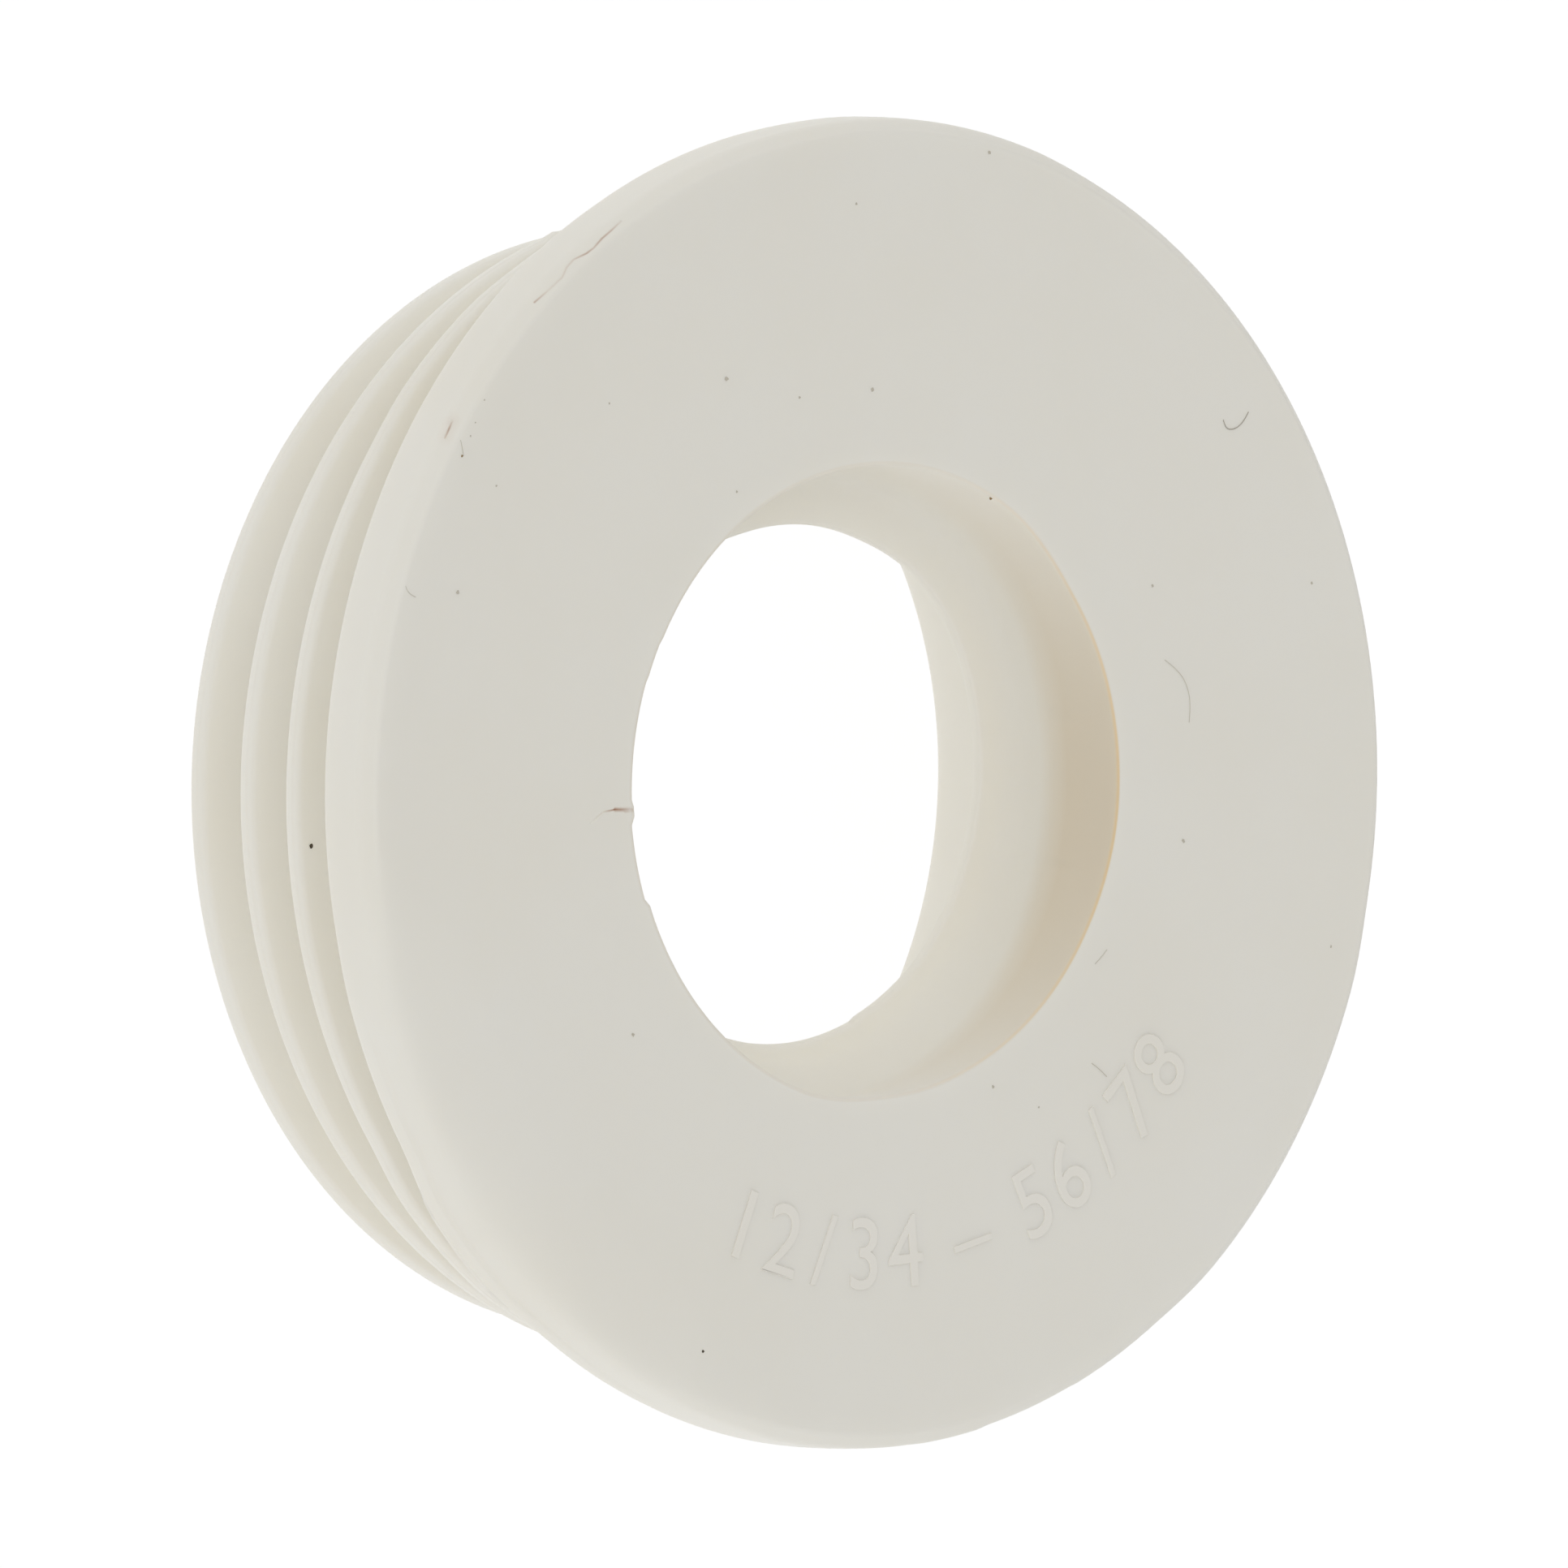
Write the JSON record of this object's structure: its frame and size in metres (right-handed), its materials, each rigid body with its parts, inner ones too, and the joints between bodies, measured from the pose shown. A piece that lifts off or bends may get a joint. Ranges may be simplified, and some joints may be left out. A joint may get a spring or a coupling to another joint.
{
  "type": "flush pipe connector",
  "caption": "Round one-piece rubber seal with a flat flange, tapering sealing fins and a stepped pipe socket, joining a flush pipe to the inlet of a toilet pan.",
  "frame": {"origin": "centre of the rear end, on the surface that the connector stands on", "axes": "+Z along the axis, out of the flange's front face, the way the flush pipe leaves"},
  "size_m": [0.066, 0.066, 0.0219],
  "materials": {
    "rubber": "matte moulded off-white soft rubber"
  },
  "bodies": {
    "root": {"connector_body": "rubber"}
  },
  "joints": []
}
